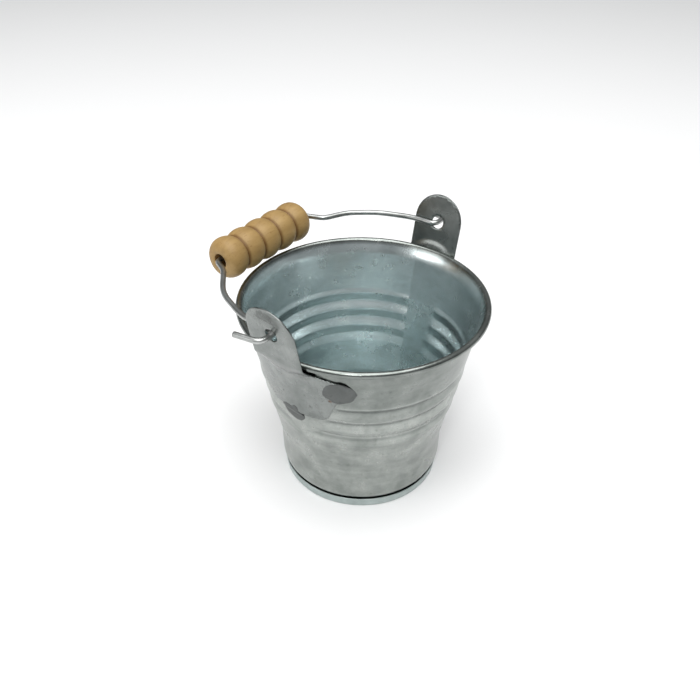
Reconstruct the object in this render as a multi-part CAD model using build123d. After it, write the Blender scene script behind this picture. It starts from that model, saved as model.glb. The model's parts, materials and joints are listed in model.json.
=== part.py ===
from build123d import *
import math
import os

# A small galvanised pail with a swinging wire bail and a turned wooden grip.
# Millimetres, +Z up.  The origin is on the floor, on the pail's axis.
# The two ears, and so the bail's pivot axis, lie along X.  At rest the bail
# lies towards +Y, with its grip just over the rim.

# ---------------------------------------------------------------- sizes
RIM_RADIUS = 40.0           # outside of the rolled rim
SHEET = 0.35                # galvanised sheet of the body and the bottom
CURL_RADIUS = 1.04          # outside radius of the hollow rolled rim
CURL_HEIGHT = 65.3          # centre of the roll
CURL_SWEEP = 292.0          # how far round the sheet is rolled, in degrees

CONE_SLOPE = 0.203          # gain in radius per millimetre of height
CONE_REF = (33.92, 48.0)    # middle of the sheet on the cone: radius, height
CONE_FOOT = 17.5            # below this the body is almost a cylinder
BARREL = (27.27, 13.0)      # the foot's near-cylinder: radius, height
NECK = ((25.45, 2.7), (26.9, 5.6))      # where it narrows into the seam: radius, height
FLARE_HEIGHT = 62.5         # above this it turns out towards the roll
FOOT_BENDS = (1.5, 2.5, 12.0, 12.0)     # bend radii from the neck up to the cone
FLARE_BEND = 5.0

BEAD_CRESTS = (31.6, 37.8, 44.0)    # heights where the beads stand out
BEAD_PITCH = 6.25
BEAD_OUT = 0.40
BEAD_IN = 0.28
BEAD_BEND = 0.9
BEAD_SHOULDER = 48.6        # the plain cone starts again here
SHOULDER_BEND = 0.6
BEAD_FREE_ANGLE = 21.0      # the sheet is left plain this far each side of an ear

HOOK_RADIUS = 25.95         # middle of the wall's own edge, folded up in the seam
HOOK_TOP = 2.1
HOOK_BOTTOM = 0.70
HOOK_BEND = 0.24
LAP_HALF_ANGLE = 6.6        # half of the body's lapped side seam
LAP_FOOT = (26.6, 4.4)      # lower end of the lap's inner layer: radius, height
LAP_TOP = 61.5
LAP_BITE = 0.98             # how much of one thickness the inner layer lies inside

FLOOR_HEIGHT = 3.4          # middle of the recessed bottom sheet
CHIME_INNER = 25.0
CHIME_OUTER = 26.35
CHIME_TOP_RADIUS = 26.72
CHIME_TOP = 3.3
CHIME_BENDS = (0.7, 0.4, 0.4)

EAR_SHEET = 0.5
EAR_GAP = 0.08              # between the ear's pad and the wall
EAR_HALF_WIDTH = 8.9
EAR_TOP = 84.4
PIVOT_RADIUS = 42.5         # where the ear's middle surface meets the pivot axis
PIVOT_HEIGHT = 75.1
HOLE_RADIUS = 2.15
EAR_LEAN = math.radians(12.0)
EAR_CROOK = (8.9, 61.3)     # where the stem widens into the pad's wings: half width, height
PAD_TIP = (18.0, 59.3)      # the wing's tip
PAD_CORNER = (10.4, 42.2)
PAD_BOTTOM = 41.4
EAR_BENDS = (0.9, 1.2, 4.5)             # corner radii from the crook to the pad's corner
BEND_LOW = 57.0             # the stem starts to leave the wall here on its centre line,
BEND_RISE = 3.0             # this much higher at its sides,
BEND_LIMIT = 64.0           # and never higher than this,
BEND_TOP = 65.6             # and is straight from here up
EAR_GRID = (17, 21)         # points across and up that its faces are drawn through
EAR_MARGIN = (1.0, 1.5)     # how far those faces run past its outline, across and up

WELD_RADIUS = 2.2
WELD_SPOTS = ((21.5, 54.6), (-3.7, 43.9))      # degrees from the ear, height

WIRE_RADIUS = 0.9
REST_TILT = 2.5             # the resting bail slopes down by this much
BAIL_REACH = 42.9           # pivot axis to the wire inside the grip
TAIL_END = (48.0, 8.8)      # along the pivot axis, reach
# the wire's bends, from the hook to the grip: along the pivot axis, reach, bend radius
HOOK = ((46.8, 0.0, 2.4), (40.8, 0.0, 1.9))
LEFT_ARM = ((39.9, 13.5, 25.0), (34.0, 27.2, 25.0), (23.4, 37.2, 12.0), (20.6, BAIL_REACH, 2.2))
RIGHT_ARM = ((41.2, 9.0, 25.0), (37.6, 21.8, 25.0), (31.6, 30.2, 12.0), (23.2, 34.6, 4.0),
             (20.6, BAIL_REACH, 2.2))

GRIP_HALF_LENGTH = 19.5
GRIP_RADIUS = 6.9
GRIP_NECK = 5.3             # radius at the bottom of the grooves
GRIP_END_RADIUS = 3.6       # flat end face
GRIP_BEADS = 5
BORE_RADIUS = 2.4
GRIP_HANG = 0.63            # the grip's axis below the wire it hangs on


# ---------------------------------------------------------------- helpers
def cone_radius(height):
    """Middle of the wall's sheet on the plain cone."""
    return CONE_REF[0] + CONE_SLOPE * (height - CONE_REF[1])


def smooth(low, high, value):
    """A smooth step from 0 at low to 1 at high."""
    part = min(1.0, max(0.0, (value - low) / (high - low)))
    return part * part * (3.0 - 2.0 * part)


def sheet_section(line):
    """The closed section of a sheet that follows an open line in the XZ plane."""
    return make_face(line.offset_2d(SHEET / 2, kind=Kind.ARC, side=Side.BOTH).edges())


def revolved(section, start, sweep):
    """Turn a section in the XZ plane about Z, from one angle over a sweep."""
    return Rot(0, 0, start) * revolve(section, Axis.Z, sweep)


# ---------------------------------------------------------------- body
def wall_line(with_beads):
    """Middle of the body's sheet, from the folded foot to the rolled rim."""
    corners = [             # radius, height, bend radius
        (HOOK_RADIUS, HOOK_BOTTOM, HOOK_BEND),
        (NECK[0][0], HOOK_BOTTOM, HOOK_BEND),
        (*NECK[0], FOOT_BENDS[0]),
        (*NECK[1], FOOT_BENDS[1]),
        (*BARREL, FOOT_BENDS[2]),
        (cone_radius(CONE_FOOT), CONE_FOOT, FOOT_BENDS[3]),
    ]
    if with_beads:
        first = BEAD_CRESTS[0] - BEAD_PITCH / 2
        corners.append((cone_radius(first), first, BEAD_BEND))
        for crest in BEAD_CRESTS:
            valley = crest + BEAD_PITCH / 2
            corners.append((cone_radius(crest) + BEAD_OUT, crest, BEAD_BEND))
            corners.append((cone_radius(valley) - BEAD_IN, valley, BEAD_BEND))
        corners.append((cone_radius(BEAD_SHOULDER), BEAD_SHOULDER, SHOULDER_BEND))
    corners.append((cone_radius(FLARE_HEIGHT), FLARE_HEIGHT, FLARE_BEND))
    centre = Vector(RIM_RADIUS - CURL_RADIUS, CURL_HEIGHT)
    roll = CURL_RADIUS - SHEET / 2
    flare = Vector(cone_radius(FLARE_HEIGHT), FLARE_HEIGHT)
    # the straight flare touches the roll where their directions agree
    to_centre = centre - flare
    heading = math.atan2(to_centre.Y, to_centre.X) + math.asin(roll / to_centre.length)
    reach = math.sqrt(to_centre.length ** 2 - roll ** 2)
    touch = flare + Vector(math.cos(heading), math.sin(heading)) * reach
    points = [(HOOK_RADIUS, HOOK_TOP)] + [corner[:2] for corner in corners] + [(touch.X, touch.Y)]
    start = math.degrees(math.atan2(touch.Y - centre.Y, touch.X - centre.X))
    body = Plane.XZ * FilletPolyline(*points, radius=[corner[2] for corner in corners])
    rolled = Plane.XZ * CenterArc((centre.X, centre.Y), roll, start, -CURL_SWEEP)
    return Wire(list(body.edges()) + list(rolled.edges()))


def lap_strip():
    """The second layer of sheet at the lapped side seam, on the inside."""
    line = Polyline(LAP_FOOT, (cone_radius(CONE_FOOT), CONE_FOOT), (cone_radius(LAP_TOP), LAP_TOP))
    line = Plane.XZ * (Pos(-SHEET * LAP_BITE, 0) * line)
    return revolved(sheet_section(Wire(line.edges())), -LAP_HALF_ANGLE, 2 * LAP_HALF_ANGLE)


def wall():
    """The body: one sheet, lapped at the side, beaded, rolled at the rim."""
    free = BEAD_FREE_ANGLE
    beaded = sheet_section(wall_line(True))
    plain = sheet_section(wall_line(False))
    shell = revolved(plain, -free, 2 * free) + revolved(beaded, free, 180 - 2 * free)
    shell += revolved(plain, 180 - free, 2 * free) + revolved(beaded, 180 + free, 180 - 2 * free)
    return shell + lap_strip()


def bottom():
    """The bottom: a recessed disc whose edge is folded round the wall's foot."""
    line = FilletPolyline(
        (0, FLOOR_HEIGHT),
        (CHIME_INNER, FLOOR_HEIGHT),
        (CHIME_INNER, SHEET / 2),
        (CHIME_OUTER, SHEET / 2),
        (CHIME_TOP_RADIUS, CHIME_TOP),
        radius=CHIME_BENDS,
    )
    line = Plane.XZ * line
    section = sheet_section(Wire(line.edges()))
    right_half = Plane.XZ * (Pos(RIM_RADIUS / 2, 0) * Rectangle(RIM_RADIUS, RIM_RADIUS))
    return revolve(section & right_half, Axis.Z, 360)


# ---------------------------------------------------------------- ears
def ear_radius(height):
    """Middle of the ear's sheet on its centre line, if it were one straight slope."""
    return PIVOT_RADIUS + math.tan(EAR_LEAN) * (height - PIVOT_HEIGHT)


def ear_point(across, height):
    """A point on the middle surface of the ear on the +X side."""
    pad = cone_radius(height) + SHEET / 2 + EAR_GAP + EAR_SHEET / 2
    pad = math.sqrt(pad * pad - across * across)
    stem = ear_radius(height)
    low = min(BEND_LIMIT, BEND_LOW + BEND_RISE * (across / EAR_HALF_WIDTH) ** 2)
    return Vector(pad + (stem - pad) * smooth(low, BEND_TOP, height), across, height)


def ear_outline():
    """The ear's outline, seen along X, for trimming its sheet."""
    crown = EAR_TOP - EAR_HALF_WIDTH
    half = [(EAR_HALF_WIDTH, crown), EAR_CROOK, PAD_TIP, PAD_CORNER, (0, PAD_BOTTOM)]
    side = FilletPolyline(*half, radius=EAR_BENDS)
    other = FilletPolyline(*[(-y, z) for y, z in half], radius=EAR_BENDS)
    top = ThreePointArc((EAR_HALF_WIDTH, crown), (0, EAR_TOP), (-EAR_HALF_WIDTH, crown))
    face = make_face(list(side.edges()) + list(top.edges()) + list(other.edges()))
    return extrude(Plane.YZ * face, amount=2 * RIM_RADIUS)


def ear_face(side):
    """One face of the ear's sheet, half its thickness off the middle surface."""
    columns, rows = EAR_GRID
    low, high = PAD_BOTTOM - EAR_MARGIN[1], EAR_TOP + EAR_MARGIN[1]
    width = PAD_TIP[0] + EAR_MARGIN[0]
    step = 0.05             # for the slopes of the middle surface
    grid = []
    for row in range(rows):
        height = low + (high - low) * row / (rows - 1)
        line = []
        for column in range(columns):
            across = width * (2.0 * column / (columns - 1) - 1.0)
            middle = ear_point(across, height)
            along = ear_point(across + step, height) - middle
            upward = ear_point(across, height + step) - middle
            line.append(middle + along.cross(upward).normalized() * (side * EAR_SHEET / 2))
        grid.append(line)
    return Face.make_surface_from_array_of_points(grid)


def ear():
    """The ear on the +X side: pad on the wall, bend round the rim, flat stem."""
    inside = Solid.extrude(ear_face(-1), Vector(RIM_RADIUS / 2, 0, 0))
    outside = Solid.extrude(ear_face(1), Vector(RIM_RADIUS, 0, 0))
    plate = (inside & ear_outline()) - outside
    drill = Pos(PIVOT_RADIUS, 0, PIVOT_HEIGHT) * Rot(0, 90 - math.degrees(EAR_LEAN), 0)
    return plate - drill * Cylinder(HOLE_RADIUS, 4 * HOLE_RADIUS)


def weld_nuggets():
    """Spot welds, each fusing the pad to the wall, two to an ear."""
    inner = SHEET / 4
    outer = SHEET / 2 + EAR_GAP + 0.9 * EAR_SHEET
    spots = []
    for side in (0, 180):
        for turn, height in WELD_SPOTS:
            middle = cone_radius(height) + (inner + outer) / 2
            tilt = 90 + math.degrees(math.atan(CONE_SLOPE))
            place = Rot(0, 0, side + turn) * Pos(middle, 0, height) * Rot(0, tilt, 0)
            spots.append(place * Cylinder(WELD_RADIUS, outer - inner))
    return Compound(children=[Solid(spot.solid().wrapped) for spot in spots])


# ---------------------------------------------------------------- bail and grip
def bail_plane():
    """The plane of the resting bail: x along the pivot axis, y out towards the grip."""
    tilt = math.radians(REST_TILT)
    normal = (0, math.sin(tilt), math.cos(tilt))
    return Plane(origin=(0, 0, PIVOT_HEIGHT), x_dir=(1, 0, 0), z_dir=normal)


def bail():
    """One wire: a hook through each ear, two arms, a straight run for the grip."""
    left = [*HOOK, *LEFT_ARM]
    right = [*HOOK, *RIGHT_ARM][::-1]
    points = [(-along, reach) for along, reach, _ in left] + [(along, reach) for along, reach, _ in right]
    tails = [(-TAIL_END[0], TAIL_END[1]), TAIL_END]
    line = FilletPolyline(tails[0], *points, tails[1], radius=[bend[2] for bend in left + right])
    path = bail_plane() * line
    section = Plane(origin=path @ 0, z_dir=path % 0) * Circle(WIRE_RADIUS)
    return sweep(section, path=path)


def grip():
    """The turned grip: rounded beads with narrow grooves, drilled right through."""
    bead = 2 * GRIP_HALF_LENGTH / GRIP_BEADS
    ends = [-GRIP_HALF_LENGTH + bead * k for k in range(GRIP_BEADS + 1)]
    edges = []
    for k in range(GRIP_BEADS):
        first = GRIP_END_RADIUS if k == 0 else GRIP_NECK
        last = GRIP_END_RADIUS if k == GRIP_BEADS - 1 else GRIP_NECK
        middle = (ends[k] + ends[k + 1]) / 2
        edges.append(ThreePointArc((ends[k], first), (middle, GRIP_RADIUS), (ends[k + 1], last)))
    edges.append(Line((ends[-1], GRIP_END_RADIUS), (ends[-1], BORE_RADIUS)))
    edges.append(Line((ends[-1], BORE_RADIUS), (ends[0], BORE_RADIUS)))
    edges.append(Line((ends[0], BORE_RADIUS), (ends[0], GRIP_END_RADIUS)))
    turned = revolve(make_face(edges), Axis.X, 360)
    place = bail_plane().offset(-GRIP_HANG).location * Pos(0, BAIL_REACH, 0)
    return place * turned


# ---------------------------------------------------------------- output
def main():
    ear_right = ear()
    parts = {
        "body_wall": wall(),
        "bottom_disc": bottom(),
        "ear_left": Rot(0, 0, 180) * ear_right,
        "ear_right": ear_right,
        "spot_welds": weld_nuggets(),
        "bail_wire": bail(),
        "wooden_grip": grip(),
    }
    os.makedirs("parts", exist_ok=True)
    for name, part in parts.items():
        export_step(part, f"parts/{name}.step")


main()
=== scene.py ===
import json
import math

import bmesh
import bpy
import numpy as np
from mathutils import Matrix, Vector, noise
from mathutils.geometry import delaunay_2d_cdt


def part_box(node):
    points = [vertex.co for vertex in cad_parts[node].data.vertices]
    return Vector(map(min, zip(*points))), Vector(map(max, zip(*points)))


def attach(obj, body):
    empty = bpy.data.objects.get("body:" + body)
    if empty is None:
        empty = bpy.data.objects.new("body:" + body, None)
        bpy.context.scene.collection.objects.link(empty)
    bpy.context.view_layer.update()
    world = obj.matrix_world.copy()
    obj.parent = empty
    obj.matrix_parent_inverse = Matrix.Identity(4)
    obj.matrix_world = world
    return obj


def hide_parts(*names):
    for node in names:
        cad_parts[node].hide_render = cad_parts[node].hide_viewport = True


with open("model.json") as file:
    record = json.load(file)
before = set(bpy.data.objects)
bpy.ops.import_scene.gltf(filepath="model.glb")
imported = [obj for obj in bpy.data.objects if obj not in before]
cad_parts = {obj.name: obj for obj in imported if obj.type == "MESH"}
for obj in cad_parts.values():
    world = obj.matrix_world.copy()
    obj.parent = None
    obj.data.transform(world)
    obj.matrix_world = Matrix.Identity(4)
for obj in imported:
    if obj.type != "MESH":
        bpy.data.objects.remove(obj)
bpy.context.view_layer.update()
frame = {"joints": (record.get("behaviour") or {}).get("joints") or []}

# A miniature galvanised pail: one beaded and rolled sheet, a seamed-on bottom,
# two spot-welded ears, a wire bail and a turned beech grip.
# Metres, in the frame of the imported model: the pivot axis runs along X.
MM = 0.001
SAME_POINT = 0.0005 * MM        # points closer than this are merged

# ------------------------------------------------------------------ sizes
JOINTS = {joint["name"]: joint for joint in frame["joints"]}
PIVOT = Vector(JOINTS["bail_swing"]["pos_m"])
GRIP_AXIS = Vector(JOINTS["grip_spin"]["pos_m"])
WALL_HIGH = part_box("body_wall")[1]
DISC_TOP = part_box("bottom_disc")[1].z
PAD_BOTTOM, EAR_TOP = [corner.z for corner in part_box("ear_right")]

SHEET = 0.35 * MM
CONE_SLOPE = 0.203
CONE_REF = (33.92 * MM, 48.0 * MM)      # middle of the sheet on the cone: radius, height
BARREL = (27.36 * MM, 8.0 * MM)         # nearly cylindrical foot of the wall: radius, height
BARREL_SLOPE = 0.012
BLEND = 0.35 * MM               # how softly the foot turns into the cone
NECK_DEPTH = 1.95 * MM          # the foot narrows by this much into the bottom seam,
NECK_HEIGHT = 2.2 * MM          # most of all here,
NECK_WIDTH = 2.4 * MM           # over this distance
FOLD = (25.70 * MM, 0.95 * MM)  # centre of the wall's folded edge in the seam
FOLD_RADIUS = 0.25 * MM
FOLD_ENDS = (2.1 * MM, 1.6 * MM)        # heights where the fold's two legs end
# rows of the wall's mesh: from and to, mm, and how many, closest at the beads
WALL_ROWS = ((2.4, 28.0, 46), (28.4, 49.2, 104), (49.8, 62.0, 22))
WALL_COLUMNS = 360

CURL = 1.04 * MM                # outside radius of the rolled rim
CURL_CENTRE = (WALL_HIGH.x - CURL, WALL_HIGH.z - CURL)
CURL_SWEEP = 292.0              # degrees
CURL_POINTS = 44
WALL_SPAN = (2.0 * MM, 6.0 * MM, 64.0 * MM, 65.6 * MM)  # where dents and the lap fade in and out

BEADS = ((28.6, 0.0), (31.6, 0.40), (34.7, -0.28), (37.8, 0.40), (40.9, -0.28),
         (44.0, 0.40), (47.0, -0.30), (48.7, 0.0))      # height and stand-out, mm
# painted highlight lines outside; a painted shade line lies just below each
BEAD_HIGHLIGHT_LINES = (48.6, 42.6, 35.2)         # heights of the bright lines outside, mm
# the beads start this far from an ear's middle: height in mm, degrees
BEAD_STARTS = ((30.0, -1.0), (37.8, 11.0), (44.0, 17.5), (48.0, 21.0))
BEAD_FADE = math.radians(6.0)           # and are full this much further on
SEAM_ANGLE = math.radians(6.6)          # visible inner edge of the lapped side seam
SEAM_FLAT = (math.radians(9.0), math.radians(16.0))     # the beads fade out on its other side
LAP_FADE = (math.radians(-26.4), math.radians(-7.2))    # the lapping layer rejoins the wall
LAP_SHADE_END = math.radians(-84.0)      # the inside is darker from the seam to here

CHIME_INNER = 25.0 * MM         # the bottom's edge, folded up round the wall's foot
CHIME_OUTER = 26.35 * MM
CHIME_TOP = (26.72 * MM, 3.3 * MM)
CHIME_BENDS = (0.7 * MM, 0.4 * MM, 0.4 * MM)

EAR_SHEET = 0.5 * MM
EAR_GAP = 0.08 * MM
EAR_LEAN = math.tan(math.radians(12.0))
PIVOT_RADIUS = 42.5 * MM        # where the ear's middle surface meets the pivot axis
STEM = 8.9 * MM                 # half width of the stem
CROOK = (8.9 * MM, 61.3 * MM)   # where the stem widens into the pad's wings
PAD_TIP = (18.0 * MM, 59.3 * MM)
PAD_CORNER = (10.4 * MM, 42.2 * MM)
PAD_BENDS = (0.9 * MM, 1.2 * MM, 4.5 * MM)      # corner radii from the crook down
BEND_LOW = 57.0 * MM            # the stem starts to leave the wall here on its centre line,
BEND_RISE = 3.0 * MM            # this much higher at its sides,
BEND_LIMIT = 64.0 * MM          # and never higher than this,
BEND_TOP = 65.6 * MM            # and is straight from here up
ARCH_MIDDLE = 62.9 * MM         # an arched crease pressed in above the rim,
ARCH_SIZE = (7.4 * MM, 5.0 * MM)
ARCH_EDGE = (0.84, 1.16)        # its side walls, as shares of its size
ARCH_SPAN = (62.0 * MM, 64.5 * MM)      # it comes out of the wall between these heights
ARCH_DEPTH = {1: 0.34 * MM, -1: 0.10 * MM}      # deeper on the right ear
EAR_SOFT = 0.13 * MM            # how far the sheet's edges are rounded
HOLE = 2.15 * MM
HOLE_POINTS = 48
# weld marks: place across and up, half sizes, tilt in degrees, seed
WELDS = (((15.3 * MM, 55.6 * MM), (4.6 * MM, 4.1 * MM), 25.0, 4.0),
         ((-2.3 * MM, 40.0 * MM), (4.4 * MM, 3.3 * MM), -14.0, 7.0),
         ((-0.6 * MM, 42.6 * MM), (1.2 * MM, 1.7 * MM), 0.0, 2.0))
WELD_LIFT = 0.13 * MM           # a mark stands this much off what it lies on
WELD_SINK = 0.15 * MM           # and its hidden side lies this much below
WELD_SLOPE = (-1.8 * MM, -0.05 * MM)    # it climbs onto the pad between these distances

WIRE = 0.9 * MM
# the wire's bends from a hook to the grip: along the pivot axis, reach, bend radius, mm
TAIL = (48.0, 8.8)
HOOK = ((46.8, 0.0, 2.4), (40.8, 0.0, 1.9))
LEFT_ARM = ((39.9, 13.5, 25.0), (34.0, 27.2, 25.0), (23.4, 37.2, 12.0))
RIGHT_ARM = ((41.2, 9.0, 25.0), (37.6, 21.8, 25.0), (31.6, 30.2, 12.0), (23.2, 34.6, 4.0))
SHOULDER = (20.6, 2.2)          # the last bend, into the grip: along the axis, radius

GRIP_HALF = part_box("wooden_grip")[1].x
GRIP_CREST = 6.9 * MM
GRIP_NECK = 5.3 * MM
GRIP_END = 3.5 * MM             # flat part of the end face
GRIP_HANG = 0.63 * MM           # the grip's axis below the wire
GRIP_BEADS = 5
GROOVE_DARK = (0.15 * MM, 0.95 * MM)    # the dark of a groove fades out between these distances
BORE = 2.4 * MM
BORE_MOUTH = 0.45 * MM          # the bore's rounded edge

# unevenness of the sheets and the wood: depth, how fine it is and a seed
WALL_DENTS = ((0.07 * MM, 90.0, 3.1), (0.025 * MM, 300.0, 8.4))
CHIME_SWAY = (0.05 * MM, 140.0, 5.5)
CHIME_WAVE = (0.10 * MM, 60.0, 9.1)
FLOOR_WAVE = (0.12 * MM, 45.0, 1.3)
EAR_DENTS = ((0.02 * MM, 110.0, 0.0), (0.008 * MM, 330.0, 0.3))
WELD_DISH = (0.05 * MM, 400.0)
WELD_RAGGED = ((0.13, 1.6), (0.05, 5.0))        # shares of its size, and how fine
GRIP_GRAIN = (0.03 * MM, 160.0)

# painted shading runs from this, for the painted highlight lines, to 1 for the deepest painted shade
PAINTED_SHADING_LEAST = -0.4
OUTER_PAINTED_SHADE = (36 * MM, 54 * MM)         # it rises between these heights outside,
INNER_PAINTED_SHADE = (50 * MM, 24 * MM)         # and downwards between these inside


def smooth(low, high, value):
    """A smooth step from 0 at low to 1 at high, for numbers and arrays."""
    part = np.clip((value - low) / (high - low), 0.0, 1.0)
    return part * part * (3.0 - 2.0 * part)


def cone_radius(height):
    """Middle of the wall's sheet on the plain cone."""
    return CONE_REF[0] + CONE_SLOPE * (height - CONE_REF[1])


# ------------------------------------------------------------------ mesh helpers
def new_piece(name, points, faces, material, body, stands_for):
    """A smooth-shaded mesh piece that rides on a body and stands for CAD nodes."""
    mesh = bpy.data.meshes.new(name)
    mesh.from_pydata([tuple(p) for p in points], [], faces)
    mesh.validate()
    mesh.update()
    for polygon in mesh.polygons:
        polygon.use_smooth = True
    mesh.materials.append(material)
    piece = bpy.data.objects.new(name, mesh)
    bpy.context.scene.collection.objects.link(piece)
    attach(piece, body)
    if stands_for:
        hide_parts(*stands_for)
    return piece


def give_attribute(piece, name, values):
    """A number for each vertex, which the piece's material reads."""
    attribute = piece.data.attributes.new(name, "FLOAT", "POINT")
    attribute.data.foreach_set("value", np.asarray(values, np.float32))


def ring_faces(rows, columns):
    """Quads of a closed tube whose section has rows points and goes round columns times."""
    faces = []
    for c in range(columns):
        d = (c + 1) % columns
        for r in range(rows):
            s = (r + 1) % rows
            faces.append((c * rows + r, d * rows + r, d * rows + s, c * rows + s))
    return faces


def thicken(line, thickness):
    """The closed section of a sheet that follows an open 2-D line: one face, tip, other face, tip."""
    line = np.asarray(line, float)
    tangent = np.gradient(line, axis=0)
    tangent /= np.linalg.norm(tangent, axis=1)[:, None]
    normal = np.stack([tangent[:, 1], -tangent[:, 0]], axis=1)
    half = thickness / 2
    tip = 0.6 * half            # the sheet's ends are slightly rounded
    cap_out = line[-1] + tangent[-1] * tip
    cap_in = line[0] - tangent[0] * tip
    right = line + normal * half
    left = line - normal * half
    return np.concatenate([right, [cap_out], left[::-1], [cap_in]])


def arc(centre, radius, start, sweep, count):
    """Points of an arc, angles in degrees."""
    angles = np.radians(start + sweep * np.linspace(0.0, 1.0, count))
    return np.asarray(centre) + radius * np.stack([np.cos(angles), np.sin(angles)], axis=1)


def round_path(points, radii, step):
    """A polyline with its inner corners turned into arcs, sampled about every step."""
    points = [np.asarray(p, float) for p in points]
    path = [points[0]]
    for before, corner, after, radius in zip(points, points[1:], points[2:], radii):
        one = (before - corner) / np.linalg.norm(before - corner)
        two = (after - corner) / np.linalg.norm(after - corner)
        half = math.acos(np.clip(one @ two, -1, 1)) / 2
        turn = math.pi - 2 * half
        reach = radius / math.tan(half)
        middle = corner + (one + two) / np.linalg.norm(one + two) * radius / math.sin(half)
        first, last = corner + one * reach, corner + two * reach
        count = max(4, int(radius * turn / step))
        for k in range(count + 1):
            t = k / count
            mixed = (first - middle) * math.sin((1 - t) * turn)
            mixed = mixed + (last - middle) * math.sin(t * turn)
            path.append(middle + mixed / math.sin(turn))
    path.append(points[-1])
    dense = [path[0]]
    for here in path[1:]:
        gap = np.linalg.norm(here - dense[-1])
        start = dense[-1]
        pieces = max(1, int(round(gap / step)))
        dense += [start + (here - start) * (k + 1) / pieces for k in range(pieces)]
    return np.array(dense)


def wobble(points, depth, scale, seed):
    """Smooth noise for each point, between about -depth and depth."""
    shift = Vector((seed, seed * 1.7, -seed))
    return depth * np.array([noise.noise(Vector(p) * scale + shift) for p in points])


def clean(piece, merge=False, outward=False):
    """Joins a piece's coinciding points, or turns its faces outward."""
    build = bmesh.new()
    build.from_mesh(piece.data)
    if merge:
        bmesh.ops.remove_doubles(build, verts=build.verts, dist=SAME_POINT)
        bmesh.ops.dissolve_degenerate(build, edges=build.edges, dist=SAME_POINT)
    if outward:
        bmesh.ops.recalc_face_normals(build, faces=build.faces)
    build.to_mesh(piece.data)
    build.free()


# ------------------------------------------------------------------ body wall
def bead_height(z):
    """How far the beads stand out of the plain wall at each height."""
    heights = np.array([b[0] for b in BEADS]) * MM
    values = np.array([b[1] for b in BEADS]) * MM
    index = np.clip(np.searchsorted(heights, z) - 1, 0, len(heights) - 2)
    part = np.clip((z - heights[index]) / (heights[index + 1] - heights[index]), 0, 1)
    eased = 0.45 * part + 0.55 * smooth(0.0, 1.0, part)
    return values[index] + (values[index + 1] - values[index]) * eased


def wall_line():
    """Middle of the wall's sheet without beads, from the folded foot to the roll."""
    fold = arc(FOLD, FOLD_RADIUS, 0, -180, 9)
    foot = [(FOLD[0] + FOLD_RADIUS, FOLD_ENDS[0]), *fold, (FOLD[0] - FOLD_RADIUS, FOLD_ENDS[1])]
    heights = np.concatenate([np.linspace(*rows) for rows in WALL_ROWS]) * MM
    cone = cone_radius(heights)
    barrel = BARREL[0] + BARREL_SLOPE * (heights - BARREL[1])
    radius = np.maximum(cone, barrel) + BLEND / 4 * np.exp(-np.abs(cone - barrel) / BLEND)
    radius -= NECK_DEPTH * np.exp(-((heights - NECK_HEIGHT) / NECK_WIDTH) ** 2)
    wall = np.stack([radius, heights], axis=1)
    centre = np.array(CURL_CENTRE)
    roll = CURL - SHEET / 2
    start = wall[-1]
    reach = np.linalg.norm(centre - start)
    heading = math.atan2(*(centre - start)[::-1]) + math.asin(roll / reach)
    touch = start + np.array([math.cos(heading), math.sin(heading)]) * math.sqrt(reach ** 2 - roll ** 2)
    angle = math.degrees(math.atan2(*(touch - centre)[::-1]))
    flare = [start + (touch - start) * t for t in (0.33, 0.66)]
    return np.concatenate([foot, wall, flare, arc(centre, roll, angle, -CURL_SWEEP, CURL_POINTS)])


def outer_painted_shading(z, strength):
    """Painted shading outside: painted shade that deepens towards the rim, and at each bead a painted
    highlight line with a painted shade line just below.
    """
    upper = 0.55
    contrast = 0.50
    painted_highlight_width, painted_shade_width, painted_shade_drop = 0.40, 0.75, 1.1      # mm
    painted_shading = upper * smooth(*OUTER_PAINTED_SHADE, z)
    # at each bead, a painted highlight line and a painted shade line just below it
    for line in BEAD_HIGHLIGHT_LINES:
        painted_highlight = np.exp(-((z / MM - line) / painted_highlight_width) ** 2)
        painted_shade = np.exp(-((z / MM - line + painted_shade_drop) / painted_shade_width) ** 2)
        painted_shading = painted_shading + contrast * (painted_shade - painted_highlight) * strength
    return np.clip(painted_shading, PAINTED_SHADING_LEAST, 1)


def inner_painted_shade(z, angle):
    """Painted shade: the inside is darker towards the bottom, and on the lapped side of the seam."""
    darker = 0.22
    low = darker * smooth(*INNER_PAINTED_SHADE, z)
    lapped = darker if LAP_SHADE_END < angle <= SEAM_ANGLE else 0.0
    return np.clip(low + lapped * (1 - low), 0, 1)


def wall_angles():
    """Angles round the wall, closer together at the lapped seam."""
    plain = np.linspace(-math.pi, math.pi, WALL_COLUMNS + 1)[:-1]
    near = SEAM_ANGLE + np.radians([-0.35, -0.06, 0.0, 0.06, 0.35])
    clear = math.radians(0.5)
    keep = plain[np.abs(plain - SEAM_ANGLE) > clear]
    return np.sort(np.concatenate([keep, near]))


def bead_strength(angle, z):
    """1 where the beads are full, 0 where an ear or the seam flattens them."""
    heights, starts = np.transpose(BEAD_STARTS)
    pad = np.radians(np.interp(z, heights * MM, starts))
    far = np.where(angle > SEAM_ANGLE, 1.0, smooth(*SEAM_FLAT, np.abs(angle)))
    near = smooth(pad, pad + BEAD_FADE, math.pi - abs(angle))
    return np.minimum(far, near)


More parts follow.
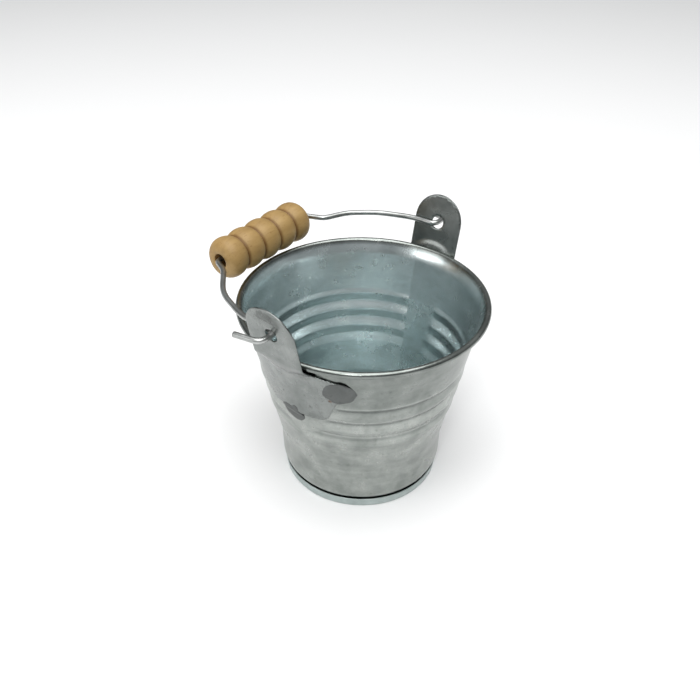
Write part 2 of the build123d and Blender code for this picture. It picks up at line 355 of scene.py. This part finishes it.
def make_wall(material):
    """The body: a sheet rolled round, lapped, beaded and curled outward at the rim."""
    line = wall_line()
    angles = wall_angles()
    rows = 2 * len(line) + 2
    points = []
    painted_shading = []
    z = line[:, 1]
    rising = np.arange(len(line)) < np.argmax(z)
    # both faces of the rolled rim look like the outside
    is_inner = np.arange(rows) > len(line) + CURL_POINTS
    on_wall = smooth(*WALL_SPAN[:2], z) * smooth(WALL_SPAN[3], WALL_SPAN[2], z) * rising
    # the inner face's points come after the outer face and the sheet's tip
    inner_rows = slice(len(line) + 1, 2 * len(line) + 1)
    for angle in angles:
        lapped = smooth(*LAP_FADE, angle) * (angle <= SEAM_ANGLE)
        offset = bead_height(z) * bead_strength(angle, z)
        direction = Vector((math.cos(angle), math.sin(angle), 0))
        places = [direction * r + Vector((0, 0, h)) for r, h in line]
        for dent in WALL_DENTS:
            offset = offset + on_wall * wobble(places, *dent)
        section = thicken(line + np.stack([offset, 0 * offset], axis=1), SHEET)
        section[inner_rows, 0] -= (SHEET * lapped * on_wall)[::-1]
        points += [(r * direction.x, r * direction.y, h) for r, h in section]
        # painted highlights and painted shade, kept in a vertex attribute for the material
        outer = outer_painted_shading(section[:, 1], bead_strength(angle, section[:, 1]))
        painted_shading.append(np.where(is_inner, inner_painted_shade(section[:, 1], angle), outer))
    faces = [f[::-1] for f in ring_faces(rows, len(angles))]
    piece = new_piece("pail_wall", points, faces, material, "bucket", ["body_wall"])
    give_attribute(piece, "inside", np.tile(is_inner.astype(float), len(angles)))
    give_attribute(piece, "painted_shading", np.concatenate(painted_shading))
    return piece


# ------------------------------------------------------------------ bottom
def make_bottom(material):
    """The bottom sheet, recessed, with its edge folded up round the wall's foot."""
    floor = DISC_TOP - SHEET / 2
    low = SHEET / 2
    corners = [(0.0, floor), (CHIME_INNER, floor), (CHIME_INNER, low), (CHIME_OUTER, low), CHIME_TOP]
    line = round_path(corners, CHIME_BENDS, 0.22 * MM)
    # the flat middle needs fewer rings
    flat_end = CHIME_INNER - 1.5 * MM
    line = np.concatenate([line[line[:, 0] < flat_end][::8], line[line[:, 0] >= flat_end]])
    # the outer leg of the fold, its upper part, and the flat middle are uneven
    outer = line[:, 0] > CHIME_INNER + 1.0 * MM
    upper = outer * (line[:, 1] > 1.0 * MM)
    flat = line[:, 0] < CHIME_INNER - 1.0 * MM
    columns = 288
    points = []
    for c in range(columns):
        angle = 2 * math.pi * c / columns
        direction = Vector((math.cos(angle), math.sin(angle), 0))
        places = [direction * r + Vector((0, 0, h)) for r, h in line]
        out = wobble(places, *CHIME_SWAY) * outer
        up = wobble(places, *CHIME_WAVE) * upper + wobble(places, *FLOOR_WAVE) * flat
        section = thicken(line + np.stack([out, up], axis=1), SHEET)
        section[:, 0] = np.maximum(section[:, 0], 0.0)
        points += [(r * direction.x, r * direction.y, h) for r, h in section]
    rows = 2 * len(line) + 2
    faces = [f[::-1] for f in ring_faces(rows, columns)]
    piece = new_piece("pail_bottom", points, faces, material, "bucket", ["bottom_disc"])
    across = np.array([math.hypot(p[0], p[1]) for p in points])
    give_attribute(piece, "inside", (across < CHIME_INNER - 0.05 * MM).astype(float))
    give_attribute(piece, "painted_shading", np.zeros(len(points)))
    # the rings on the axis become single points
    clean(piece, merge=True)
    return piece


# ------------------------------------------------------------------ ears
def ear_middle(across, z, side):
    """Middle surface of an ear, out from the axis: pad and wings on the wall, a flat leaning stem."""
    pad = np.sqrt((cone_radius(z) + SHEET / 2 + EAR_GAP + EAR_SHEET / 2) ** 2 - across ** 2)
    stem = PIVOT_RADIUS + EAR_LEAN * (z - PIVOT.z)
    low = np.minimum(BEND_LIMIT, BEND_LOW + BEND_RISE * (across / STEM) ** 2)
    arch = np.hypot(across / ARCH_SIZE[0], (z - ARCH_MIDDLE) / ARCH_SIZE[1])
    pressed = (1.0 - smooth(*ARCH_EDGE, arch)) * smooth(*ARCH_SPAN, z)
    return pad + (stem - pad) * smooth(low, BEND_TOP, z) - ARCH_DEPTH[side] * pressed


def ear_outline(inset):
    """The ear's outline in the YZ plane, moved inwards by an inset."""
    crown = EAR_TOP - STEM
    half = [(STEM, crown), CROOK, PAD_TIP, PAD_CORNER, (0, PAD_BOTTOM)]
    side = round_path(half, PAD_BENDS, 0.5 * MM)
    top = arc((0, crown), STEM, 180, -180, 46)
    loop = np.concatenate([side[:-1], (side * [-1, 1])[::-1][:-1], top[:-1]])
    spacing = np.linalg.norm(np.diff(loop, axis=0, append=loop[:1]), axis=1)
    loop = loop[spacing > 0.05 * MM]
    tangent = np.roll(loop, -1, axis=0) - np.roll(loop, 1, axis=0)
    tangent /= np.linalg.norm(tangent, axis=1)[:, None]
    inward = np.stack([tangent[:, 1], -tangent[:, 0]], axis=1)
    return loop + inward * inset


def fill_ear(rim, hole, hole_at):
    """Points and triangles between an ear's rim and its hole, and the point each corner became."""
    pitch = 0.8 * MM
    row_step = 0.87 * pitch     # rows of nearly equilateral triangles
    grid = []
    for row, h in enumerate(np.arange(PAD_BOTTOM + 0.5 * pitch, EAR_TOP, row_step)):
        for y in np.arange(-PAD_TIP[0], PAD_TIP[0], pitch):
            grid.append((y + 0.5 * pitch * (row % 2), h))
    grid = np.array(grid)
    closest = np.min(np.linalg.norm(grid[:, None] - rim[None], axis=2), axis=1)
    away = np.linalg.norm(grid - hole_at, axis=1) > HOLE + EAR_SOFT + 0.4 * pitch
    grid = grid[(closest > 0.45 * pitch) & away]
    flat = np.concatenate([rim, hole, grid])
    base = len(rim)
    rim_edges = [(k, (k + 1) % base) for k in range(base)]
    hole_edges = [(base + k, base + (k + 1) % len(hole)) for k in range(len(hole))]
    edges = rim_edges + hole_edges[::-1]
    result = delaunay_2d_cdt([Vector(p / MM) for p in flat], edges, [], 0, 1e-4)
    places, cells, origins = result[0], result[2], result[3]
    points = np.array([tuple(v) for v in places]) * MM
    triangles = []
    for cell in cells:
        middle = points[list(cell)].mean(axis=0)
        in_hole = np.linalg.norm(middle - hole_at) < HOLE + 0.9 * EAR_SOFT
        if not in_hole and inside(middle, rim):
            triangles.append(tuple(cell))
    became = {}
    for index, sources in enumerate(origins):
        for source in sources:
            became[source] = index
    return points, triangles, became


def make_ear(name, side, material, node):
    """One ear: a stamped sheet with softened edges and a round hole."""
    outline = ear_outline(0.0)
    inner = ear_outline(EAR_SOFT)
    turn = np.linspace(0, 2 * math.pi, HOLE_POINTS + 1)[:-1]
    circle = np.stack([np.cos(turn), np.sin(turn)], axis=1)
    hole_at = np.array([0.0, PIVOT.z])
    hole = hole_at + HOLE * circle
    flat, triangles, became = fill_ear(inner, hole_at + (HOLE + EAR_SOFT) * circle, hole_at)
    count = len(flat)
    half = EAR_SHEET / 2
    points = []
    for level in (half, -half):
        points += [ear_place(y, h, level, side) for y, h in flat]
    faces = triangles + [tuple(i + count for i in t[::-1]) for t in triangles]
    for loop, first in ((outline, 0), (hole, len(inner))):
        start = len(points)
        size = len(loop)
        for level in (half - EAR_SOFT, -half + EAR_SOFT):
            points += [ear_place(y, h, level, side) for y, h in loop]
        for k in range(size):
            n = (k + 1) % size
            a, b = became[first + k], became[first + n]
            u, v = start + k, start + n
            faces.append((a, u, v, b))
            faces.append((u, u + size, v + size, v))
            faces.append((u + size, a + count, b + count, v + size))
    piece = new_piece(name, points, faces, material, "bucket", [node])
    clean(piece, outward=True)
    return piece


def inside(point, polygon):
    """True if a 2-D point lies in a closed polygon."""
    x, y = point
    one, two = polygon, np.roll(polygon, -1, axis=0)
    crosses = (one[:, 1] > y) != (two[:, 1] > y)
    with np.errstate(divide="ignore", invalid="ignore"):
        where = one[:, 0] + (y - one[:, 1]) * (two[:, 0] - one[:, 0]) / (two[:, 1] - one[:, 1])
    return bool(np.sum(crosses & (x < where)) % 2)


def ear_place(across, z, level, side):
    """A point of an ear's sheet, level off its middle surface, on the +X or -X side."""
    step = 0.02 * MM
    here = Vector((float(ear_middle(across, z, side)), across, z))
    along = Vector((float(ear_middle(across + step, z, side)), across + step, z)) - here
    upward = Vector((float(ear_middle(across, z + step, side)), across, z + step)) - here
    point = here + along.cross(upward).normalized() * level
    for depth, scale, seed in EAR_DENTS:
        point.x += depth * noise.noise(Vector((across, z, side * 0.05 + seed)) * scale)
    return (side * point.x, side * point.y, point.z)


def outline_depth(across, z, outline):
    """Distance of a point of the YZ plane inside an outline, negative outside it."""
    away = np.min(np.linalg.norm(outline - np.array([across, z]), axis=1))
    return away if inside((across, z), outline) else -away


def weld_point(mark, outline, angle, share, on_top):
    """A point of a weld mark's upper or hidden side, as distances across, out and up."""
    at, size, tilt, seed = mark
    turn = math.radians(tilt)
    round_about = Vector((math.cos(angle), math.sin(angle), seed))
    ragged = 1 + sum(amount * noise.noise(round_about * scale) for amount, scale in WELD_RAGGED)
    u = size[0] * math.cos(angle) * ragged * share
    v = size[1] * math.sin(angle) * ragged * share
    across = at[0] + u * math.cos(turn) - v * math.sin(turn)
    z = at[1] + u * math.sin(turn) + v * math.cos(turn)
    proud = (EAR_GAP + EAR_SHEET) * float(smooth(*WELD_SLOPE, outline_depth(across, z, outline)))
    dish = WELD_DISH[0] * noise.noise(Vector((across, z, seed)) * WELD_DISH[1])
    lift = (WELD_LIFT + dish) * (1 - share ** 6) if on_top else -WELD_SINK
    radius = cone_radius(z) + SHEET / 2 + proud + lift
    return across, math.sqrt(radius ** 2 - across ** 2), z


def make_welds(name, side, material, node):
    """The burnt, flattened blobs left by the welding tongs, over the edge of an ear's pad."""
    outline = ear_outline(0.0)
    rings, columns = 12, 44
    layer = (rings + 1) * columns
    points = []
    faces = []
    for mark in WELDS:
        first = len(points)
        for on_top in (True, False):
            for r in range(rings + 1):
                for c in range(columns):
                    angle = 2 * math.pi * c / columns
                    across, out, z = weld_point(mark, outline, angle, r / rings, on_top)
                    points.append((side * out, side * across, z))
        for r in range(rings):
            for c in range(columns):
                d = (c + 1) % columns
                a, b = first + r * columns + c, first + r * columns + d
                faces.append((a, b, b + columns, a + columns))
                faces.append((a + layer, a + layer + columns, b + layer + columns, b + layer))
        for c in range(columns):
            a = first + rings * columns + c
            b = first + rings * columns + (c + 1) % columns
            faces.append((a, b, b + layer, a + layer))
    piece = new_piece(name, points, faces, material, "bucket", [node])
    clean(piece, merge=True, outward=True)
    return piece


# ------------------------------------------------------------------ bail
def bail_frame():
    """Directions of the resting bail's plane, out towards the grip and its normal, and its reach."""
    arm = GRIP_AXIS - PIVOT
    reach = math.sqrt(arm.y ** 2 + arm.z ** 2 - GRIP_HANG ** 2)
    angle = math.atan2(arm.z, arm.y) + math.atan2(GRIP_HANG, reach)
    out = Vector((0, math.cos(angle), math.sin(angle)))
    return out, Vector((0, -out.z, out.y)), reach


def make_bail(material):
    """The bail: round wire, hooked through both ears and shouldered at the grip."""
    out, normal, reach = bail_frame()
    shoulder = (SHOULDER[0], reach / MM, SHOULDER[1])
    left = [*HOOK, *LEFT_ARM, shoulder]
    right = [*HOOK, *RIGHT_ARM, shoulder][::-1]
    corners = [(-s, t) for s, t, _ in left] + [(s, t) for s, t, _ in right]
    corners = [(-TAIL[0], TAIL[1]), *corners, TAIL]
    bends = [bend * MM for _, _, bend in left + right]
    line = round_path([(s * MM, t * MM) for s, t in corners], bends, 0.45 * MM)
    for _ in range(3):
        line[1:-1] = 0.25 * line[:-2] + 0.5 * line[1:-1] + 0.25 * line[2:]
    centres = [PIVOT + Vector((s, 0, 0)) + out * t for s, t in line]
    rings = len(centres)
    sides = 20
    points = []
    for k, centre in enumerate(centres):
        ahead = (centres[min(k + 1, rings - 1)] - centres[max(k - 1, 0)]).normalized()
        across = ahead.cross(normal).normalized()
        rough = 1.0 + 0.01 * noise.noise(centre * 200.0)
        points += [centre + (across * math.cos(a) + normal * math.sin(a)) * WIRE * rough
                   for a in np.linspace(0, 2 * math.pi, sides + 1)[:-1]]
    faces = []
    for k in range(rings - 1):
        for s in range(sides):
            n = (s + 1) % sides
            faces.append((k * sides + s, k * sides + n, (k + 1) * sides + n, (k + 1) * sides + s))
    # sheared ends with a small chamfer
    narrowed = 0.8
    chamfer = 0.12 * MM
    for ring, inward in ((0, 1), (rings - 1, -1)):
        ahead = (centres[ring + inward] - centres[ring]).normalized()
        start = len(points)
        for s in range(sides):
            spoke = points[ring * sides + s] - centres[ring]
            points.append(centres[ring] + spoke * narrowed - ahead * chamfer)
        cap = [start + s for s in range(sides)]
        for s in range(sides):
            n = (s + 1) % sides
            quad = (ring * sides + s, ring * sides + n, start + n, start + s)
            faces.append(quad[::-1] if inward == 1 else quad)
        faces.append(tuple(cap) if inward == -1 else tuple(cap[::-1]))
    return new_piece("bail", points, faces, material, "bail", ["bail_wire"])


# ------------------------------------------------------------------ grip
def grip_line():
    """The turned outline: distance along the axis and radius, with the bore."""
    bead = 2 * GRIP_HALF / GRIP_BEADS
    neck = (GRIP_NECK, 2.2, 0.75)       # radius at a groove, and two powers that shape the swell
    tip = (GRIP_END, 2.1, 0.5)          # the same at an end of the grip
    line = []
    for b in range(GRIP_BEADS):
        for t in np.linspace(-1, 1, 27)[:-1]:
            outermost = (b == 0 and t < 0) or (b == GRIP_BEADS - 1 and t > 0)
            foot, across_power, height_power = tip if outermost else neck
            radius = foot + (GRIP_CREST - foot) * (1 - abs(t) ** across_power) ** height_power
            line.append((-GRIP_HALF + bead * (b + 0.5 + 0.5 * t), radius))
    line.append((GRIP_HALF, GRIP_END))
    bore_end = GRIP_HALF - BORE_MOUTH
    end = [(GRIP_HALF, BORE + BORE_MOUTH * 1.3), (GRIP_HALF - 0.3 * BORE_MOUTH, BORE + 0.4 * BORE_MOUTH),
           (bore_end, BORE)]
    start = [(-x, r) for x, r in end[::-1]]
    bore = [(x, BORE) for x in np.linspace(bore_end, -bore_end, 20)[1:-1]]
    return np.array(line + end + bore + start)


def groove_at(along, radius):
    """1 at the bottom of a groove or in the bore, 0 on the open surface."""
    bead = 2 * GRIP_HALF / GRIP_BEADS
    nearest = min(abs(along - (-GRIP_HALF + bead * k)) for k in range(1, GRIP_BEADS))
    in_bore = radius < BORE + 0.1 * MM
    return 1.0 if in_bore else float(1.0 - smooth(*GROOVE_DARK, nearest))


def make_grip(material):
    """The grip: turned wood, drilled through for the wire."""
    out, normal, _ = bail_frame()
    line = grip_line()
    columns = 96
    smooth_bore = 3 * MM        # only the outside is uneven
    points = []
    depth = []
    for c in range(columns):
        angle = 2 * math.pi * c / columns
        spoke = out * math.cos(angle) + normal * math.sin(angle)
        for along, radius in line:
            place = GRIP_AXIS + Vector((along, 0, 0)) + spoke * radius
            if radius > smooth_bore:
                place = place + spoke * GRIP_GRAIN[0] * noise.noise(place * GRIP_GRAIN[1])
            points.append(place)
            depth.append(groove_at(along, radius))
    faces = ring_faces(len(line), columns)
    piece = new_piece("grip", points, faces, material, "grip", ["wooden_grip"])
    give_attribute(piece, "groove", depth)
    return piece


# ------------------------------------------------------------------ materials
class Nodes:
    """A short way to write a material's node tree."""

    def __init__(self, name):
        self.material = bpy.data.materials.new(name)
        self.material.use_nodes = True
        self.tree = self.material.node_tree
        self.shader = self.tree.nodes["Principled BSDF"]

    def plug(self, socket, value):
        """Links a socket to another node's output, or sets it to a constant."""
        if hasattr(value, "is_output"):
            self.tree.links.new(value, socket)
        else:
            socket.default_value = value

    def add(self, kind, **inputs):
        """A new node, with its named inputs filled in."""
        node = self.tree.nodes.new("ShaderNode" + kind)
        for name, value in inputs.items():
            self.plug(node.inputs[name.replace("_", " ")], value)
        return node

    def stretched(self, scale):
        """Object coordinates scaled along each axis."""
        place = self.add("TexCoord")
        return self.add("Mapping", Vector=place.outputs["Object"], Scale=scale).outputs[0]

    def noise(self, vector, scale, detail=3.0, roughness=0.5):
        """Smooth noise between 0 and 1."""
        node = self.add("TexNoise", Vector=vector, Scale=scale, Detail=detail, Roughness=roughness)
        return node.outputs["Fac"]

    def ramp(self, value, stops):
        """A colour that runs through the stops, each a value and a colour."""
        node = self.add("ValToRGB", Fac=value)
        elements = node.color_ramp.elements
        while len(elements) < len(stops):
            elements.new(0.5)
        for element, (place, colour) in zip(elements, stops):
            element.position = place
            element.color = (*colour, 1)
        return node.outputs["Color"]

    def mix(self, factor, one, two, blend="MIX"):
        """Two colours blended by a factor."""
        node = self.tree.nodes.new("ShaderNodeMix")
        node.data_type = "RGBA"
        node.blend_type = blend
        # the colour inputs of this node are its seventh and eighth
        for index, value in ((0, factor), (6, one), (7, two)):
            self.plug(node.inputs[index], value)
        return node.outputs[2]

    def spread(self, value, low, high):
        """A value between 0 and 1 mapped to the span from low to high."""
        node = self.add("MapRange", Value=value)
        node.inputs["To Min"].default_value = low
        node.inputs["To Max"].default_value = high
        return node.outputs["Result"]

    def vector(self, operation, one, two):
        """A vector node of two vectors, either of them a socket or a constant."""
        node = self.tree.nodes.new("ShaderNodeVectorMath")
        node.operation = operation
        for socket, value in zip(node.inputs, (one, two)):
            self.plug(socket, value)
        return node

    def mark(self, place, start, end, width):
        """1 on a straight line between two points, fading to 0 over a width."""
        start, along = Vector(start), Vector(end) - Vector(start)
        away = self.vector("SUBTRACT", place, start).outputs[0]
        share = self.vector("DOT_PRODUCT", away, along / along.length_squared).outputs["Value"]
        share = self.add("Clamp", Value=share).outputs[0]
        foot = self.add("VectorMath")
        foot.operation = "SCALE"
        foot.inputs[0].default_value = along
        self.tree.links.new(share, foot.inputs["Scale"])
        rest = self.vector("SUBTRACT", away, foot.outputs[0]).outputs[0]
        length = self.vector("LENGTH", rest, (0, 0, 0)).outputs["Value"]
        node = self.add("MapRange", Value=length)
        node.inputs["From Max"].default_value = width
        node.inputs["To Min"].default_value = 1.0
        node.inputs["To Max"].default_value = 0.0
        return node.outputs["Result"]

    def bump(self, height, strength, distance, normal=None):
        """A normal tilted by a height, on top of another normal if one is given."""
        node = self.add("Bump", Height=height, Strength=strength, Distance=distance)
        if normal is not None:
            self.tree.links.new(normal, node.inputs["Normal"])
        return node.outputs["Normal"]

    def set(self, **inputs):
        """Fills in the shader's named inputs and gives the finished material."""
        for name, value in inputs.items():
            self.plug(self.shader.inputs[name.replace("_", " ")], value)
        return self.material


CLOUD = (0.32, 0.68)            # the noise values that get a sheet's dark and light tones


def zinc(name, light, dark, rough, streak, inside=None, speck=0.7, marks=()):
    """Galvanised sheet: cloudy zinc, faint spangle, drawn streaks, dark specks, soft gloss.

    The inside's own tones, which are painted light, and the painted shading go by the piece's
    attributes.
    """
    n = Nodes(name)
    place = n.stretched((1, 1, 1))
    cloud = n.noise(place, 130.0, 5.0, 0.62)
    spangle = n.add("TexVoronoi", Vector=place, Scale=420.0)
    streaks = n.noise(n.stretched(streak), 1.0, 3.0, 0.6)
    specks = n.noise(place, 700.0, 4.0, 0.65)
    fine = n.noise(place, 1500.0, 2.0, 0.6)
    colour = n.ramp(cloud, [(CLOUD[0], dark), (CLOUD[1], light)])
    pits = n.ramp(specks, [(0.28, (0.62, 0.63, 0.62)), (0.40, (1, 1, 1))])
    colour = n.mix(speck, colour, pits, "MULTIPLY")
    if inside:
        face = n.add("Attribute")
        face.attribute_name = "inside"
        painted_shading = n.add("Attribute")
        painted_shading.attribute_name = "painted_shading"
        # painted light on the inside faces: the wall's inside gets lighter tones than its outside, the
        # bottom's recessed middle darker ones
        bright = n.ramp(cloud, [(CLOUD[0], inside[1]), (CLOUD[1], inside[0])])
        colour = n.mix(face.outputs["Fac"], colour, bright)
        # painted highlights and painted shade: the colour is made up to 1.3 times brighter and down to
        # 0.4 times darker
        shift = n.add("MapRange", Value=painted_shading.outputs["Fac"])
        shift.inputs["From Min"].default_value = PAINTED_SHADING_LEAST
        stops = [(0.0, (1.3, 1.3, 1.3)), (0.286, (1, 1, 1)), (1.0, (0.40, 0.42, 0.42))]
        tone = n.ramp(shift.outputs["Result"], stops)
        colour = n.mix(1.0, colour, tone, "MULTIPLY")
    shade = n.ramp(streaks, [(0.25, (0.90, 0.90, 0.90)), (0.75, (1.05, 1.05, 1.05))])
    colour = n.mix(1.0, colour, shade, "MULTIPLY")
    stops = [(0.2, (0.975, 0.978, 0.975)), (0.8, (1.02, 1.018, 1.016))]
    flecks = n.ramp(spangle.outputs["Color"], stops)
    colour = n.mix(1.0, colour, flecks, "MULTIPLY")
    # on the left ear, the first two lines are a painted reflection of the wire's tail and the rest are
    # pits
    for start, end, width, tint in marks:
        colour = n.mix(n.mark(place, start, end, width), colour, (*tint, 1))
    gloss = n.spread(cloud, rough - 0.06, rough + 0.08)
    height = n.bump(streaks, 0.06, 0.0002)
    height = n.bump(specks, 0.04 * speck, 0.00006, height)
    height = n.bump(fine, 0.025, 0.00004, height)
    return n.set(Base_Color=colour, Metallic=1.0, Roughness=gloss, Normal=height)


def drawn_wire():
    """Bright galvanised wire with lengthwise die lines and a matt bloom."""
    n = Nodes("bail_wire")
    place = n.stretched((1, 1, 1))
    bloom = n.noise(place, 260.0, 4.0, 0.6)
    lines = n.noise(n.stretched((300, 300, 2600)), 1.0, 2.0, 0.5)
    colour = n.ramp(bloom, [(0.3, (0.28, 0.29, 0.28)), (0.7, (0.44, 0.45, 0.44))])
    height = n.bump(lines, 0.12, 0.0001)
    return n.set(Base_Color=colour, Metallic=1.0, Roughness=n.spread(bloom, 0.24, 0.42), Normal=height)


def beech():
    """Bare turned beech: pale, fine-grained, with short dark flecks and dark grooves."""
    n = Nodes("beech")
    grain = n.noise(n.stretched((45, 420, 420)), 1.0, 5.0, 0.6)
    broad = n.noise(n.stretched((14, 90, 90)), 1.0, 3.0, 0.5)
    flecks = n.noise(n.stretched((420, 2600, 2600)), 1.0, 2.0, 0.5)
    colour = n.ramp(broad, [(0.3, (0.300, 0.186, 0.066)), (0.7, (0.365, 0.240, 0.090))])
    lines = n.ramp(grain, [(0.35, (0.87, 0.84, 0.78)), (0.62, (1.04, 1.03, 1.02))])
    colour = n.mix(1.0, colour, lines, "MULTIPLY")
    spots = n.ramp(flecks, [(0.60, (1, 1, 1)), (0.72, (0.70, 0.62, 0.52))])
    colour = n.mix(0.8, colour, spots, "MULTIPLY")
    groove = n.add("Attribute")
    groove.attribute_name = "groove"
    dark = n.ramp(groove.outputs["Fac"], [(0.0, (1, 1, 1)), (1.0, (0.50, 0.40, 0.28))])
    colour = n.mix(1.0, colour, dark, "MULTIPLY")
    height = n.bump(grain, 0.25, 0.0002)
    height = n.bump(flecks, 0.15, 0.00008, height)
    return n.set(Base_Color=colour, Roughness=n.spread(grain, 0.42, 0.6), Normal=height,
                 Specular_IOR_Level=0.4)


# ------------------------------------------------------------------ stage
def make_floor():
    """A plain pale floor."""
    mesh = bpy.data.meshes.new("floor")
    size = 3.0
    corners = [(-size, -size, 0), (size, -size, 0), (size, size, 0), (-size, size, 0)]
    mesh.from_pydata(corners, [], [(0, 1, 2, 3)])
    floor = bpy.data.objects.new("floor", mesh)
    bpy.context.scene.collection.objects.link(floor)
    n = Nodes("floor")
    cloud = n.noise(n.stretched((1, 1, 1)), 4.0, 2.0)
    tone = n.ramp(cloud, [(0.0, (0.90, 0.90, 0.90)), (1.0, (0.93, 0.93, 0.93))])
    floor.data.materials.append(n.set(Base_Color=tone, Roughness=0.9))


# soft boxes: name, place, width and height, power
LIGHTS = (
    ("top", (-0.10, -0.05, 0.90), (0.9, 0.9), 9.0),
    ("front", (-0.50, -0.25, 0.60), (0.12, 0.12), 1.2),
    ("left", (-0.62, 0.34, 0.28), (0.40, 0.20), 0.8),
)
LIGHT_AIM = (0, 0, 0.04)
SKY = 0.6                       # strength of the room's own light


def area_light(name, place, size, power):
    """A soft box turned to the pail."""
    data = bpy.data.lights.new(name, "AREA")
    data.shape = "RECTANGLE"
    data.size, data.size_y = size
    data.energy = power
    light = bpy.data.objects.new(name, data)
    light.location = place
    heading = Vector(LIGHT_AIM) - Vector(place)
    light.rotation_euler = heading.to_track_quat("-Z", "Y").to_euler()
    bpy.context.scene.collection.objects.link(light)


def make_light():
    """Soft studio light, mostly from above, in a room that is darker low down."""
    for light in LIGHTS:
        area_light(*light)
    world = bpy.data.worlds.new("studio")
    world.use_nodes = True
    nodes, links = world.node_tree.nodes, world.node_tree.links
    back = nodes["Background"]
    place = nodes.new("ShaderNodeTexCoord")
    split = nodes.new("ShaderNodeSeparateXYZ")
    ramp = nodes.new("ShaderNodeValToRGB")
    links.new(place.outputs["Generated"], split.inputs[0])
    links.new(split.outputs["Z"], ramp.inputs[0])
    links.new(ramp.outputs[0], back.inputs[0])
    stops = ramp.color_ramp.elements
    stops[0].position, stops[0].color = 0.0, (0.30, 0.31, 0.31, 1)
    stops[1].position, stops[1].color = 1.0, (0.95, 0.96, 0.96, 1)
    stop = stops.new(0.35)
    stop.color = (0.42, 0.43, 0.44, 1)
    back.inputs[1].default_value = SKY
    bpy.context.scene.world = world


def make_camera():
    """The photograph's viewpoint: high, from the front of the left ear."""
    data = bpy.data.cameras.new("camera")
    data.sensor_width = 36.0
    data.lens = 40.34
    place = Vector((-0.16897, -0.12223, 0.19818))
    aim = Vector((-0.00248, 0.00329, 0.0455))
    roll = math.radians(-0.436)
    ahead = (aim - place).normalized()
    side = ahead.cross(Vector((0, 0, 1))).normalized()
    up = side.cross(ahead)
    right = side * math.cos(roll) - up * math.sin(roll)
    up = right.cross(ahead)
    turn = Matrix((right, up, -ahead)).transposed()
    camera = bpy.data.objects.new("camera", data)
    camera.matrix_world = Matrix.Translation(place) @ turn.to_4x4()
    bpy.context.scene.collection.objects.link(camera)
    bpy.context.scene.camera = camera
    bpy.context.scene.view_settings.view_transform = "Standard"


# on the left ear, a painted reflection of the wire's tail (the first two) and pits: from, to, width,
# colour
EAR_PITS_AND_WIRE_REFLECTION = (
    ((-0.0439, 0.0038, 0.0806), (-0.0438, -0.0019, 0.0800), 0.32 * MM, (0.13, 0.135, 0.13)),
    ((-0.0436, -0.0026, 0.0789), (-0.0433, -0.0020, 0.0778), 0.60 * MM, (0.17, 0.175, 0.17)),
    ((-0.0348, 0.0041, 0.0488), (-0.0348, 0.0039, 0.0492), 0.42 * MM, (0.05, 0.05, 0.05)),
    ((-0.0341, -0.0059, 0.0468), (-0.0341, -0.0057, 0.0472), 0.38 * MM, (0.05, 0.05, 0.05)),
    ((-0.0332, -0.0130, 0.0518), (-0.0332, -0.0126, 0.0520), 0.60 * MM, (0.16, 0.085, 0.05)),
    ((-0.0332, -0.0126, 0.0516), (-0.0332, -0.0123, 0.0517), 0.30 * MM, (0.02, 0.02, 0.02)),
)


# ------------------------------------------------------------------ build
def main():
    """Makes every piece and then the stage round them."""
    # painted light: the wall's inside is a lighter, bluer copy of its zinc
    wall_inside_painted_light = ((0.83, 0.905, 0.91), (0.73, 0.81, 0.82))
    body_zinc = zinc("galvanised_body", (0.41, 0.43, 0.41), (0.25, 0.27, 0.255), 0.25,
                     (60, 60, 700), inside=wall_inside_painted_light)
    ear_zinc = zinc("galvanised_ear", (0.265, 0.28, 0.272), (0.165, 0.18, 0.173), 0.26,
                    (500, 500, 60), marks=EAR_PITS_AND_WIRE_REFLECTION)
    make_wall(body_zinc)
    # painted shade: the bottom's recessed middle is a darker copy of its zinc
    floor_inside_painted_shade = ((0.21, 0.26, 0.26), (0.13, 0.165, 0.165))
    bottom_zinc = zinc("galvanised_bottom", (0.50, 0.56, 0.55), (0.42, 0.48, 0.47), 0.42,
                       (300, 300, 300), inside=floor_inside_painted_shade, speck=0.3)
    make_bottom(bottom_zinc)
    make_ear("ear_plate_left", -1, ear_zinc, "ear_left")
    make_ear("ear_plate_right", 1, ear_zinc, "ear_right")
    make_bail(drawn_wire())
    make_grip(beech())
    burnt = zinc("weld_mark", (0.15, 0.158, 0.155), (0.11, 0.118, 0.115), 0.5, (300, 300, 300))
    make_welds("weld_marks_left", -1, burnt, "spot_welds")
    make_welds("weld_marks_right", 1, burnt, "spot_welds")
    make_floor()
    make_light()
    make_camera()


main()
